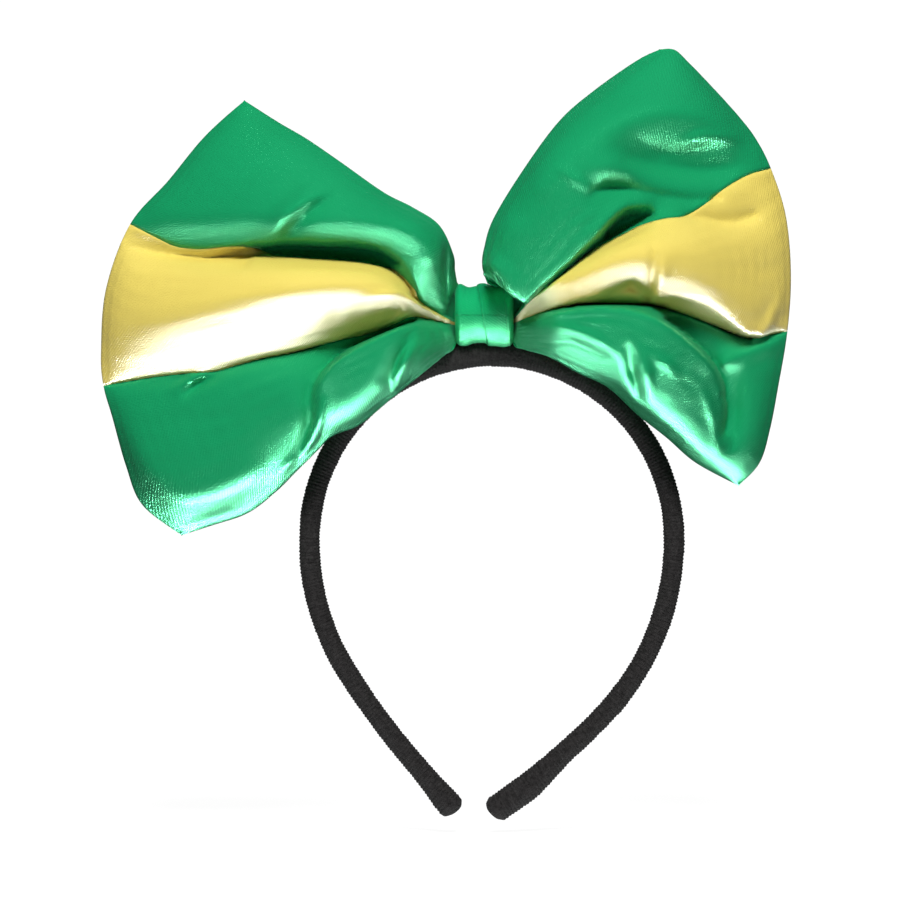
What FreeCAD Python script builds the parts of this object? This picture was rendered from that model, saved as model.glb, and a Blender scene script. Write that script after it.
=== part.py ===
"""Satin hair bow on a sprung, fabric-covered headband.

Frame, in millimetres: +Z up as worn, +X to the viewer's right, -Y towards the viewer. The origin is
on the underside of the band at its crown, where it rests on the head. The band lies in the XZ plane.
The band's core and sleeve are each one piece in the real thing: they are cut here at the two
shoulders, where the hinges that stand for the band's spring are.
"""

import FreeCAD, Part
import math
import os

from FreeCAD import Placement, Rotation, Vector

OUT = "parts"

# Band: the sleeve's section is an oval, and the core is a strip with round edges.
SLEEVE_THICK = 7.2  # across the band, in its own plane
SLEEVE_WIDE = 9.4  # along Y
CORE_THICK = 2.4
CORE_WIDE = 6.4
CROWN_RADIUS = 61.0  # of the band's centre line
SHOULDER_DEG = 38.0  # from the top of the band to the cut in each side
# (radius, degrees) of each arm's arcs, from the shoulder down to the tip
LEFT_ARCS = [(CROWN_RADIUS, 86.4 - SHOULDER_DEG), (81.0, 35.5), (244.0, 13.35)]
RIGHT_ARCS = [(CROWN_RADIUS, 89.2 - SHOULDER_DEG), (85.0, 44.5), (212.0, 12.7)]
TIP_GLUE = 1.5  # drop of glue past the core's end
TIP_STEP = 0.1  # the tip's dome is this much inside the sleeve's edge
TIP_DOME = 3.4

# Knot in the middle of the bow
KNOT_LEFT, KNOT_RIGHT = -12.3, 7.0
KNOT_Y, KNOT_Z = -4.0, 17.3
NECK = (7.2, 7.0)  # half height and half depth of the gathered cloth
NECK_CLOTH = 1.8  # how thick the gathered cloth is round the wadding
RIBBON_INSIDE = (8.2, 8.0)
RIBBON_OUTSIDE = (9.3, 9.1)
PLEAT_LEFT = -5.3  # the ribbon is doubled from here to its right edge
PLEAT_STEP = 0.5
TAIL_STEP = 1.0  # the ribbon's end, lapped over itself at the back
TAIL_BOX = (-9.0, 5.0, 11.5, 22.5)  # left, right, bottom, top
THREAD_RADIUS = 0.4
THREAD_TURNS = 9

# Loops: (x, bottom, top, half depth) of each section, from the knot outwards
CLOTH = 0.7
LOOP_BACK = -6.2  # the back of the loops stays in front of the band's arms
LEFT_LOOP = [
    (-27.0, -5.8, 52.6, 11.0),
    (-54.0, -23.4, 70.8, 16.0),
    (-82.5, -49.5, 88.3, 17.0),
    (-103.3, -56.2, 67.5, 12.0),
    (-117.0, -45.8, 53.0, 7.5),
    (-125.4, -23.5, 36.5, 4.0),
    (-129.8, -6.0, 14.0, 1.6),
]
RIGHT_LOOP = [
    (14.0, 5.0, 60.0, 12.0),
    (33.7, -3.0, 90.8, 17.0),
    (56.2, -22.2, 105.8, 18.0),
    (76.0, -37.0, 90.4, 14.5),
    (86.0, -36.0, 78.0, 10.5),
    (93.5, -14.5, 63.5, 6.5),
    (99.4, 17.7, 40.0, 1.8),
]
# Where the yellow strip's two seams end at the outer folds: (x, z), with a little over
LEFT_SEAMS = (-140.0, 55.5), (-140.0, -8.0)
RIGHT_SEAMS = (110.0, 73.0), (110.0, 10.3)
NECK_SEAM = 2.4  # the seams' height above and below the knot's middle
BAND_CLEARANCE = 0.8

# Back of the knot, and what fastens the bow on
STITCH_RADIUS = 0.25
STITCH_LENGTH = 2.4
STITCHES = 4
STITCH_GAP = 2.5
GLUE_BOX = (-10.0, 4.6, -3.6, 4.0, 4.5, 10.0)  # x, y and z ranges before it is fitted
SEAM_THREAD_RADIUS = 0.25
SEAM_ENDS_AT = 0.95  # share of a section's half height where a seam's thread stops

Y_AXIS = Vector(0, 1, 0)
FAR = 200.0


def oval(half_height, half_depth, x, y, z):
    """Elliptical wire in the plane of that x, with its seam at the top."""
    tall = half_height >= half_depth
    curve = Part.Ellipse(Vector(0, 0, 0), max(half_height, half_depth), min(half_height, half_depth))
    wire = Part.Wire(curve.toShape())
    turn = Rotation(Y_AXIS, -90)
    if not tall:
        turn = turn.multiply(Rotation(Vector(0, 0, 1), 90))
    wire.Placement = Placement(Vector(x, y, z), turn)
    return wire


def oval_bar(half_height, half_depth, left, right):
    """Solid oval bar along X round the knot's middle."""
    face = Part.Face(oval(half_height, half_depth, left, KNOT_Y, KNOT_Z))
    return face.extrude(Vector(right - left, 0, 0))


def box(x0, x1, y0, y1, z0, z1):
    return Part.makeBox(x1 - x0, y1 - y0, z1 - z0, Vector(x0, y0, z0))


def sleeve_section(grow=0.0):
    """Face across the band: local X points out of the loop and local Y is the row's Y."""
    curve = Part.Ellipse(Vector(0, 0, 0), SLEEVE_WIDE / 2 + grow, SLEEVE_THICK / 2 + grow)
    face = Part.Face(Part.Wire(curve.toShape()))
    face.Placement = Placement(Vector(0, 0, 0), Rotation(Vector(0, 0, 1), 90))
    return face


def core_section():
    """Strip with full-round edges, in the same local axes."""
    r = CORE_THICK / 2
    reach = CORE_WIDE / 2
    y = reach - r
    top = Part.Arc(Vector(r, y, 0), Vector(0, reach, 0), Vector(-r, y, 0)).toShape()
    foot = Part.Arc(Vector(-r, -y, 0), Vector(0, -reach, 0), Vector(r, -y, 0)).toShape()
    sides = [
        Part.makeLine(Vector(-r, y, 0), Vector(-r, -y, 0)),
        Part.makeLine(Vector(r, -y, 0), Vector(r, y, 0)),
    ]
    return Part.Face(Part.Wire([top, sides[0], foot, sides[1]]))


class Walk:
    """A point going down one side of the band. side is 1 for the right and -1 for the left."""

    def __init__(self, side, turned_deg=0.0):
        self.side = side
        self.turned = math.radians(turned_deg)
        self.x = side * CROWN_RADIUS * math.sin(self.turned)
        self.z = SLEEVE_THICK / 2 - CROWN_RADIUS * (1 - math.cos(self.turned))

    def outward(self):
        return Vector(self.side * math.sin(self.turned), 0, math.cos(self.turned))

    def ahead(self):
        return Vector(self.side * math.cos(self.turned), 0, -math.sin(self.turned))

    def place(self, face):
        out = self.outward()
        turn = Rotation(out, Y_AXIS, out.cross(Y_AXIS), "XYZ")
        return face.transformed(Placement(Vector(self.x, 0, self.z), turn).toMatrix())

    def along_arc(self, radius, degrees):
        centre = Vector(self.x, 0, self.z) - self.outward() * radius
        self.turned += math.radians(degrees)
        end = centre + self.outward() * radius
        self.x, self.z = end.x, end.z
        return centre


def swept(section, side, start_deg, arcs):
    """Solid of a section carried along arcs, and the walk at its end."""
    walk = Walk(side, start_deg)
    runs = []
    for radius, degrees in arcs:
        face = walk.place(section)
        centre = walk.along_arc(radius, degrees)
        runs.append(face.revolve(centre, Y_AXIS * side, degrees))
    solid = runs[0].fuse(runs[1:]) if len(runs) > 1 else runs[0]
    return solid.removeSplitter(), walk


def tip_dome(walk):
    """Half an ellipsoid that closes the sleeve past the core."""
    ball = Part.makeSphere(1.0)
    scale = FreeCAD.Matrix()
    scale.scale(SLEEVE_THICK / 2 - TIP_STEP, SLEEVE_WIDE / 2 - TIP_STEP, TIP_DOME)
    ball = ball.transformGeometry(scale)
    half = ball.common(Part.makeBox(FAR, FAR, FAR, Vector(-FAR / 2, -FAR / 2, 0)))
    if walk.outward().cross(Y_AXIS).dot(walk.ahead()) < 0:
        half = half.mirror(Vector(0, 0, 0), Vector(0, 0, 1))
    return walk.place(half)


def crown(section):
    """The part of the band between the two shoulders."""
    walk = Walk(-1, SHOULDER_DEG)
    centre = Vector(0, 0, SLEEVE_THICK / 2 - CROWN_RADIUS)
    return walk.place(section).revolve(centre, Y_AXIS, 2 * SHOULDER_DEG)


def arm(side, arcs):
    """Core, tip glue and sleeve of one arm."""
    core, walk = swept(core_section(), side, SHOULDER_DEG, arcs)
    glue = walk.place(core_section()).extrude(walk.ahead() * TIP_GLUE)
    whole, _ = swept(sleeve_section(), side, SHOULDER_DEG, arcs)
    whole = whole.fuse(tip_dome(walk)).removeSplitter()
    return core, glue, whole.cut(core).cut(glue)


def loop(sections, neck_x, inside):
    """One side of the bow as a stuffed pad. inside is how far it lies within the cloth."""
    neck = [size - (NECK_CLOTH if inside else 0.0) for size in NECK]
    wires = [oval(neck[0], neck[1], neck_x, KNOT_Y, KNOT_Z)]
    end = -1 if neck_x < 0 else 1
    for i, (x, bottom, top, depth) in enumerate(sections):
        last = i == len(sections) - 1
        shift = -end * inside if last else 0.0
        wires.append(
            oval(
                (top - bottom) / 2 - inside,
                depth - inside,
                x + shift,
                LOOP_BACK - depth,
                (top + bottom) / 2,
            )
        )
    return Part.makeLoft(wires, True, True)


def bow_pad(inside):
    """Both loops and the neck between them, hollowed where the band passes behind."""
    left = loop(LEFT_LOOP, KNOT_LEFT, inside)
    right = loop(RIGHT_LOOP, KNOT_RIGHT, inside)
    thin = NECK_CLOTH if inside else 0.0
    neck = oval_bar(NECK[0] - thin, NECK[1] - thin, KNOT_LEFT, KNOT_RIGHT)
    pad = left.fuse([neck, right]).removeSplitter()
    return pad.cut(crown(sleeve_section(BAND_CLEARANCE + inside)))


def strip_zone(top, bottom):
    """Prism right through the bow between two seams, each given by its ends and its neck height."""
    corners = []
    for (left_end, right_end, neck_z), order in ((top, 1), (bottom, -1)):
        line = [
            left_end,
            (KNOT_LEFT, KNOT_Z + neck_z),
            (KNOT_RIGHT, KNOT_Z + neck_z),
            right_end,
        ]
        corners += line[::order]
    points = [Vector(x, -FAR / 2, z) for x, z in corners]
    face = Part.Face(Part.makePolygon(points + points[:1]))
    return face.extrude(Vector(0, FAR, 0))


def seam_thread(ends, neck_x, sections, neck_z):
    """Thread of one seam on the front of a loop: straight runs between the loop's sections."""
    end_x, end_z = ends
    start_z = KNOT_Z + neck_z
    slope = (end_z - start_z) / (end_x - neck_x)
    points = []
    for x, bottom, top, depth in sections[:-1]:
        z = start_z + slope * (x - neck_x)
        share = (z - (top + bottom) / 2) / ((top - bottom) / 2)
        if abs(share) > SEAM_ENDS_AT:
            break
        y = LOOP_BACK - depth - (depth - CLOTH / 2) * math.sqrt(1 - share * share)
        points.append(Vector(x, y, z))
    runs = []
    for a, b in zip(points, points[1:]):
        runs.append(Part.makeCylinder(SEAM_THREAD_RADIUS, (b - a).Length, a, b - a))
    joints = [Part.makeSphere(SEAM_THREAD_RADIUS, p) for p in points]
    return runs[0].fuse(runs[1:] + joints)


def knot_ribbon():
    """Ribbon round the neck, doubled on its right side and lapped at the back."""
    band = oval_bar(*RIBBON_OUTSIDE, KNOT_LEFT, KNOT_RIGHT)
    pleat = oval_bar(*[size + PLEAT_STEP for size in RIBBON_OUTSIDE], PLEAT_LEFT, KNOT_RIGHT)
    left, right, bottom, top = TAIL_BOX
    tail = oval_bar(*[size + TAIL_STEP for size in RIBBON_OUTSIDE], left, right)
    tail = tail.common(box(left, right, KNOT_Y, FAR, bottom, top))
    hole = oval_bar(*RIBBON_INSIDE, KNOT_LEFT - 1, KNOT_RIGHT + 1)
    return band.fuse([pleat, tail]).cut(hole).removeSplitter()


def gathering_thread():
    """Turns of thread that hold the neck tight under the ribbon."""
    turns = []
    pitch = (KNOT_RIGHT - KNOT_LEFT) / (THREAD_TURNS + 1)
    for i in range(THREAD_TURNS):
        x = KNOT_LEFT + (i + 1) * pitch
        outer = oval_bar(*[n + 2 * THREAD_RADIUS for n in NECK], x - THREAD_RADIUS, x + THREAD_RADIUS)
        hole = oval_bar(*NECK, x - THREAD_RADIUS, x + THREAD_RADIUS)
        turns.append(outer.cut(hole))
    return Part.makeCompound(turns)


def knot_stitches():
    """Short stitches across the ribbon's lapped end, at the back."""
    y = KNOT_Y + RIBBON_OUTSIDE[1] + TAIL_STEP
    x = (TAIL_BOX[0] + TAIL_BOX[1] - STITCH_LENGTH) / 2
    stitches = []
    for i in range(STITCHES):
        z = KNOT_Z + (i - (STITCHES - 1) / 2) * STITCH_GAP
        rod = Part.makeCylinder(STITCH_RADIUS, STITCH_LENGTH, Vector(x, y, z), Vector(1, 0, 0))
        stitches.append(rod)
    return Part.makeCompound(stitches)


def write(name, shape):
    os.makedirs(OUT, exist_ok=True)
    shape.exportStep(os.path.join(OUT, name + ".step"))
    size = shape.optimalBoundingBox(False)
    print(
        f"{name}: {len(shape.Solids)} solids, {shape.Volume:.0f} mm3, valid {shape.isValid()},"
        f" x {size.XMin:.1f}..{size.XMax:.1f}, y {size.YMin:.1f}..{size.YMax:.1f},"
        f" z {size.ZMin:.1f}..{size.ZMax:.1f}"
    )


def main():
    # Band
    crown_core = crown(core_section())
    crown_sleeve = crown(sleeve_section()).cut(crown_core)
    write("band_core_crown", crown_core)
    write("band_sleeve_crown", crown_sleeve)
    for name, side, arcs in (("left", -1, LEFT_ARCS), ("right", 1, RIGHT_ARCS)):
        core, glue, sleeve = arm(side, arcs)
        write(f"band_core_{name}_arm", core)
        write(f"band_sleeve_{name}_arm", sleeve)
        write(f"tip_glue_{name}", glue)

    # Bow: three strips of satin round one sheet of wadding
    wadding = bow_pad(CLOTH)
    cloth = bow_pad(0.0).cut(wadding)
    above = ((LEFT_SEAMS[0][0], FAR), (RIGHT_SEAMS[0][0], FAR), FAR)
    upper = (LEFT_SEAMS[0], RIGHT_SEAMS[0], NECK_SEAM)
    lower = (LEFT_SEAMS[1], RIGHT_SEAMS[1], -NECK_SEAM)
    below = ((LEFT_SEAMS[0][0], -FAR), (RIGHT_SEAMS[0][0], -FAR), -FAR)
    write("bow_wadding", wadding)
    write("upper_green_strip", cloth.common(strip_zone(above, upper)))
    write("yellow_strip", cloth.common(strip_zone(upper, lower)))
    write("lower_green_strip", cloth.common(strip_zone(lower, below)))
    seams = []
    for k, neck_z in ((0, NECK_SEAM), (1, -NECK_SEAM)):
        seams.append(seam_thread(LEFT_SEAMS[k], KNOT_LEFT, LEFT_LOOP, neck_z))
        seams.append(seam_thread(RIGHT_SEAMS[k], KNOT_RIGHT, RIGHT_LOOP, neck_z))
    write("stripe_seam_thread", Part.makeCompound(seams))

    # Knot, and the glue that holds it on the band
    ribbon = knot_ribbon()
    write("gathering_thread", gathering_thread())
    write("knot_ribbon", ribbon)
    write("knot_stitches", knot_stitches())
    outside = oval_bar(*[size + PLEAT_STEP for size in RIBBON_OUTSIDE], PLEAT_LEFT, KNOT_RIGHT)
    pad = box(*GLUE_BOX).cut(oval_bar(*RIBBON_OUTSIDE, KNOT_LEFT, KNOT_RIGHT))
    pad = pad.cut(outside).cut(crown(sleeve_section()))
    pad = min(pad.Solids, key=lambda solid: solid.CenterOfMass.z)
    write("glue_pad", pad)


main()
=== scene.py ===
"""Satin hair bow on a plush-covered headband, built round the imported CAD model.

All sizes are in millimetres until a mesh is made, and +Z is up, +X to the right and -Y to the front.
"""

import math

import bmesh
import bpy
import numpy as np
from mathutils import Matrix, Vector


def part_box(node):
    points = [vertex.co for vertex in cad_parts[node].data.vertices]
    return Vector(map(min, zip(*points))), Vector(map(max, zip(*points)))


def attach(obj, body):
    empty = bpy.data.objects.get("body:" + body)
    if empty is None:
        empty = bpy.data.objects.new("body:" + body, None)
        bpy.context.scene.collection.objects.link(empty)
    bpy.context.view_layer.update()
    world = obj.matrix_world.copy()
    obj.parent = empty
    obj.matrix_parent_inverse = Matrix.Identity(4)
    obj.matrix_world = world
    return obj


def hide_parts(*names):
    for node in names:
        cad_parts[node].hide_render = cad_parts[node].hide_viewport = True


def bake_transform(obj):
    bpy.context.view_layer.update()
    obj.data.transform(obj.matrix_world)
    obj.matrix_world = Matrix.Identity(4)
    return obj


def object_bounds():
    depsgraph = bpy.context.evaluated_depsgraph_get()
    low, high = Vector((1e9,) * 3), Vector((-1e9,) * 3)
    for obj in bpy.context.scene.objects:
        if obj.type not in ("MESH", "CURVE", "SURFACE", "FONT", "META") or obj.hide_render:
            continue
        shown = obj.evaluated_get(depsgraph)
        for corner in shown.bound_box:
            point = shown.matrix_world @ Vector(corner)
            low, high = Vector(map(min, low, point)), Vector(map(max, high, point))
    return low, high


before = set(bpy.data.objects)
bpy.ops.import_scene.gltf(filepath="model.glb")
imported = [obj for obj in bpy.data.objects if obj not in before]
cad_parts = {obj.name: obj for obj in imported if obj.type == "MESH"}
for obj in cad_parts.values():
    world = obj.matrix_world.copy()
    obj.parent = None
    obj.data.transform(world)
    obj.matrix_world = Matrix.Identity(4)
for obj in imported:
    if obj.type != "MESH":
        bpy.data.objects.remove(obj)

MM = 0.001
CAD_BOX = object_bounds()
rng = np.random.default_rng(7)

# Band, as in the CAD model
SLEEVE_THICK, SLEEVE_WIDE = 7.2, 9.4
CORE_THICK, CORE_WIDE = 2.4, 6.4
CROWN_RADIUS = 61.0
ARM_ARCS = {
    "left": (-1, [(CROWN_RADIUS, 86.4), (81.0, 35.5), (244.0, 13.35)]),
    "right": (1, [(CROWN_RADIUS, 89.2), (85.0, 44.5), (212.0, 12.7)]),
}
TIP_DOME, TIP_RINGS, TIP_CLOSED = 3.4, 9, 0.04  # the last ring keeps this share of its size
SLEEVE_SIDES, CORE_SIDES = 24, 16
CORE_STEP = 2.0
RIB_PITCH, RIB_HEIGHT = 1.15, 0.30
RIB_STEPS = 4
WOBBLE = 0.26  # unevenness of the sleeve from place to place
SWELL, SWELL_RINGS = 0.09, 30  # slow change of its thickness, drawn once in so many rings
CROWN_BUNCH = 2.3  # the sleeve is pushed up under the knot

# Knot, as in the CAD model
KNOT_LEFT, KNOT_RIGHT = -12.3, 7.0
KNOT_Y, KNOT_Z = -4.0, 17.3
NECK_HIGH, NECK_DEEP = 7.2, 7.0
RIBBON_HIGH, RIBBON_DEEP = 9.3, 9.1

# Cloth grid of one loop: columns from the knot to the outer fold, rows from the bottom edge to the top
COLUMNS = 144
ROWS = 162
STRIPE_ROWS = ROWS // 3
CLOTH = 0.4
STRIP_WIDTH, STRIP_LENGTH = 54.7, 458.0  # each strip as finished, flat
LOOP_LENGTH = 122.0
SEAM_GROOVE = 0.3
NECK_PLEATS, NECK_RIPPLE = 14, 0.05
# For the front and the back of the neck: the way it faces, and the angles of its lower and upper seams
NECK_SEAMS = ((-1, -30.0, -16.0), (1, -28.0, 28.0))
LOOP_BACK = -6.3  # the back layer stays in front of the band
BAND_CENTRE_Z = SLEEVE_THICK / 2 - CROWN_RADIUS
BAND_REACH = CROWN_RADIUS + SLEEVE_THICK / 2 + 0.9
BAND_FRONT = -SLEEVE_WIDE / 2 - 0.9

# Wadding: cells that it stays clear of the knot and of the edges, and how far it lies inside the cloth
WAD_START, WAD_MARGIN, WAD_STEP = 34, 8, 3
WAD_INSET, WAD_THIN = 1.2, 0.2
# Seam stitching: how far inside the cloth, its thickness, and its first cell and step
SEAM_DEPTH, SEAM_THREAD = 0.9, 0.5
SEAM_MARGIN, SEAM_STEP = 4, 2
END_TAPER = 0.55  # a thread's end keeps this share of its thickness

# The skin that gives the front its designed height
CELL = 0.6
PRESSURE = 0.05
EDGE_POWER = 0.62
MEMBRANE_STEPS = 600
OVER_RELAX = 1.9
SKIN_MARGIN = 3
NECK_SPAN, NECK_HEIGHT = (10.0, 24.5), 6.0
SPAN_STEPS = 24  # steps between two points of a smooth line
FOLD_STEPS = 400  # steps along the outer fold
ROUND_STEPS = 24

# Relaxing the cloth
RELAX_STEPS = 36
GATHER = 0.005
THREAD_PULL, DIAGONAL_PULL = 0.9, 0.25
BEND = 0.06
DAMPING = 0.85
PUFF = 0.004  # how far the wadding pushes the cloth out at each step, in mm
HOLD, HOLD_RADIUS, HOLD_RIM = 0.08, 4, 0.25
NUDGE = 0.03  # unevenness that the cloth starts with, in mm
SOLVES = 4
LAYER_GAP = 1.2


def mesh_object(name, points, faces, material, smooth=True):
    """Object from points in millimetres."""
    mesh = bpy.data.meshes.new(name)
    mesh.from_pydata([tuple(p) for p in np.asarray(points) * MM], [], [tuple(f) for f in faces])
    mesh.validate()
    for poly in mesh.polygons:
        poly.use_smooth = smooth
    obj = bpy.data.objects.new(name, mesh)
    bpy.context.scene.collection.objects.link(obj)
    set_material(obj, material)
    return obj


def set_material(obj, material):
    obj.data.materials.clear()
    obj.data.materials.append(material)


# ---- materials


def set_inputs(node, values):
    """Sets a node's inputs, or links them where the value is another node's output."""
    for key, value in values.items():
        if isinstance(value, bpy.types.NodeSocket):
            node.id_data.links.new(value, node.inputs[key])
        else:
            node.inputs[key].default_value = value


def add_node(tree, kind, output, values=None, **settings):
    """Output of a new shader node. settings are its own, and values are for its inputs."""
    node = tree.nodes.new("ShaderNode" + kind)
    for key, value in settings.items():
        setattr(node, key, value)
    set_inputs(node, values or {})
    return node.outputs[output]


def new_material(name):
    material = bpy.data.materials.new(name)
    material.use_nodes = True
    return material, material.node_tree, material.node_tree.nodes["Principled BSDF"]


def noise(tree, place, scale, detail):
    return add_node(tree, "TexNoise", "Fac", {"Vector": place, "Scale": scale, "Detail": detail})


def mixed(tree, share, low, high):
    """Colour between low and high."""
    values = {"Factor": share, "A": (*low, 1.0), "B": (*high, 1.0)}
    return add_node(tree, "Mix", "Result", values, data_type="RGBA")


def bump(tree, pattern, strength, height):
    """Bump of this height in millimetres."""
    values = {"Height": pattern, "Strength": strength, "Distance": height * MM}
    return add_node(tree, "Bump", "Normal", values)


def satin(name, colour, shade, gloss_colour, ior, metallic=0.30, sheen_colour=(0.5, 1.0, 0.8),
          twill=0.68, lean=-0.58, rib=0.35, relief=0.20, smooth=0.30, dull=0.46):
    """Polyester satin. UV is the flat cloth in millimetres, U along the strip and V across it.

    twill and lean are the weave's scale and slant, rib is its weight beside the threads' and relief
    their height. Roughness lies between smooth and dull.
    """
    material, tree, shader = new_material(name)
    uv = add_node(tree, "UVMap", "UV", uv_map="cloth")
    # long threads: noise stretched along the warp
    warp = add_node(tree, "Mapping", "Vector", {"Vector": uv, "Scale": (1.2, 2.2, 1.0)})
    threads = noise(tree, warp, 1.0, 1.0)
    slant = add_node(tree, "Mapping", "Vector", {"Vector": uv, "Scale": (1.0, lean, 1.0)})
    weave = add_node(tree, "TexWave", "Fac", {
        "Vector": slant, "Scale": twill, "Distortion": 0.6, "Detail": 1.0,
    }, wave_type="BANDS", bands_direction="DIAGONAL")
    relief_map = add_node(tree, "Math", "Value", {0: weave, 1: rib, 2: threads}, operation="MULTIPLY_ADD")
    set_inputs(shader, {
        "Normal": bump(tree, relief_map, 0.8, relief),
        # slight patches of colour, and threads of more and less gloss
        "Base Color": mixed(tree, noise(tree, uv, 0.035, 4.0), shade, colour),
        "Roughness": add_node(tree, "MapRange", "Result", {
            "Value": threads, "From Min": 0.3, "From Max": 0.7, "To Min": smooth, "To Max": dull,
        }),
        "Tangent": add_node(tree, "Tangent", "Tangent", direction_type="UV_MAP", uv_map="cloth"),
        "Anisotropic": 0.55, "Metallic": metallic, "IOR": ior, "Specular Tint": (*gloss_colour, 1.0),
        "Sheen Weight": 0.05, "Sheen Roughness": 0.4, "Sheen Tint": (*sheen_colour, 1.0),
    })
    return material


def plush():
    material, tree, shader = new_material("black_plush")
    place = add_node(tree, "TexCoord", "Object")
    patches = noise(tree, place, 700.0, 3.0)
    set_inputs(shader, {
        "Normal": bump(tree, noise(tree, place, 1100.0, 3.0), 1.0, 0.9),
        "Base Color": mixed(tree, patches, (0.001, 0.001, 0.001), (0.034, 0.032, 0.032)),
        "Roughness": 0.95, "Specular IOR Level": 0.1,
        "Sheen Weight": 0.03, "Sheen Roughness": 0.5, "Sheen Tint": (0.6, 0.57, 0.58, 1.0),
    })
    return material


def plain(name, low, high, roughness, scale, height, sheen=0.0):
    """Noise-coloured material for the small parts. scale is the noise's, per metre."""
    material, tree, shader = new_material(name)
    spots = noise(tree, add_node(tree, "TexCoord", "Object"), scale, 4.0)
    set_inputs(shader, {
        "Normal": bump(tree, spots, 0.5, height), "Base Color": mixed(tree, spots, low, high),
        "Roughness": roughness, "Sheen Weight": sheen,
    })
    return material


GREEN_SATIN = satin(
    "green_satin", colour=(0.009, 0.325, 0.122), shade=(0.007, 0.275, 0.100),
    gloss_colour=(0.32, 1.0, 0.64), ior=2.15,
)
YELLOW_SATIN = satin(
    "yellow_satin", colour=(0.655, 0.53, 0.112), shade=(0.60, 0.48, 0.092),
    gloss_colour=(1.0, 1.0, 0.84), ior=2.7, metallic=0.05, sheen_colour=(1.0, 1.0, 0.8),
    smooth=0.38, dull=0.52,
)
GREEN_RIBBON = satin(
    "green_ribbon", colour=(0.007, 0.34, 0.125), shade=(0.005, 0.28, 0.10),
    gloss_colour=(0.40, 1.0, 0.60), ior=1.6, twill=0.75, lean=0.58, rib=0.55, relief=0.12,
)
BLACK_PLUSH = plush()
CORE_PLASTIC = plain("core_plastic", (0.02, 0.02, 0.022), (0.035, 0.035, 0.037), 0.45, 900.0, 0.02)
HOT_GLUE = plain("hot_glue", (0.62, 0.60, 0.52), (0.74, 0.72, 0.64), 0.25, 300.0, 0.1)
# glue under the knot, dark partly for plush fluff caught in it and partly as painted shade for the shadow in
# the gap between knot and band
FLUFF_AND_SHADE_GLUE = plain("fluff_and_painted_shade_glue", (0.012, 0.012, 0.011), (0.07, 0.07, 0.065), 0.5, 900.0, 0.3)
WADDING = plain("white_wadding", (0.80, 0.80, 0.78), (0.92, 0.92, 0.90), 0.95, 500.0, 0.5, 0.4)
THREAD = plain("green_thread", (0.006, 0.17, 0.055), (0.012, 0.27, 0.095), 0.55, 3000.0, 0.05, 0.2)


# ---- shared by the pieces


def set_cloth_uv(obj, flat):
    """Gives each corner its vertex's place on the flat cloth."""
    layer = obj.data.uv_layers.new(name="cloth")
    corner = np.zeros(len(obj.data.loops), int)
    obj.data.loops.foreach_get("vertex_index", corner)
    layer.data.foreach_set("uv", np.array(flat)[corner].ravel())


def thicken(obj, thickness):
    """Gives a skin its cloth's thickness, inwards."""
    solid = obj.modifiers.new("cloth", "SOLIDIFY")
    solid.thickness = thickness * MM
    solid.offset = -1.0


def join_parts(name, parts, material):
    """One piece from several parts. A part is its points and faces, and its flat cloth if it has one."""
    points, faces, flat = [], [], []
    for part in parts:
        base = len(points)
        points.extend(part[0])
        faces.extend(tuple(i + base for i in face) for face in part[1])
        flat.extend(part[2] if len(part) > 2 else [])
    obj = mesh_object(name, points, faces, material)
    if flat:
        set_cloth_uv(obj, flat)
    return obj


def stand_on_crown(piece, node, slot):
    """The piece stands for the CAD node and rides on the crown."""
    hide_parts(node)
    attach(piece, "crown")


def grid_faces(at, flip=False):
    """Quads of a grid of point numbers."""
    quads = np.stack([at[:-1, :-1], at[1:, :-1], at[1:, 1:], at[:-1, 1:]], axis=-1).reshape(-1, 4)
    return (quads[:, ::-1] if flip else quads).tolist()


def ring_faces(rings, sides, flip=False):
    """Faces of a tube made of rings of points, with both ends closed."""
    at = np.arange(rings * sides).reshape(rings, sides)
    faces = [at[0, ::-1].tolist(), at[-1].tolist()]
    if flip:
        faces = [face[::-1] for face in faces]
    return grid_faces(np.hstack([at, at[:, :1]]).T, flip) + faces


def tube(path, radius, sides=6):
    """Points and faces of a round tube along a path."""
    path = np.asarray(path, float)
    tangents = np.gradient(path, axis=0)
    tangents /= np.linalg.norm(tangents, axis=1, keepdims=True)
    points = []
    up = np.array([0.0, 0.0, 1.0]) if abs(tangents[0][2]) < 0.9 else np.array([0.0, 1.0, 0.0])
    for k, (p, t) in enumerate(zip(path, tangents)):
        a = np.cross(t, up)
        a /= np.linalg.norm(a)
        up = np.cross(a, t)
        r = radius * (END_TAPER if k in (0, len(path) - 1) else 1.0)
        for m in range(sides):
            turn = 2 * math.pi * m / sides
            points.append(p + r * (math.cos(turn) * a + math.sin(turn) * up))
    return points, ring_faces(len(path), sides)


# ---- band


def centre_line(side, arcs, step):
    """Places down one side of the band, a step apart: x, z and the outward direction's angle."""
    places = []
    turned, x, z = 0.0, 0.0, SLEEVE_THICK / 2
    for radius, degrees in arcs:
        span = math.radians(degrees)
        cx = x - radius * math.sin(turned) * side
        cz = z - radius * math.cos(turned)
        count = max(1, round(radius * span / step))
        for k in range(count):
            a = turned + span * k / count
            places.append((cx + radius * math.sin(a) * side, cz + radius * math.cos(a), a))
        turned += span
        x, z = cx + radius * math.sin(turned) * side, cz + radius * math.cos(turned)
    places.append((x, z, turned))
    return places


def sweep(name, side, places, section, sides, material):
    """Tube along the band. section(k, angle) gives the local size outwards and along Y."""
    points = []
    for k, (x, z, a) in enumerate(places):
        for s in range(sides):
            out, y = section(k, 2 * math.pi * s / sides)
            points.append((x + side * math.sin(a) * out, y, z + math.cos(a) * out))
    return mesh_object(name, points, ring_faces(len(places), sides, side < 0), material)


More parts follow.
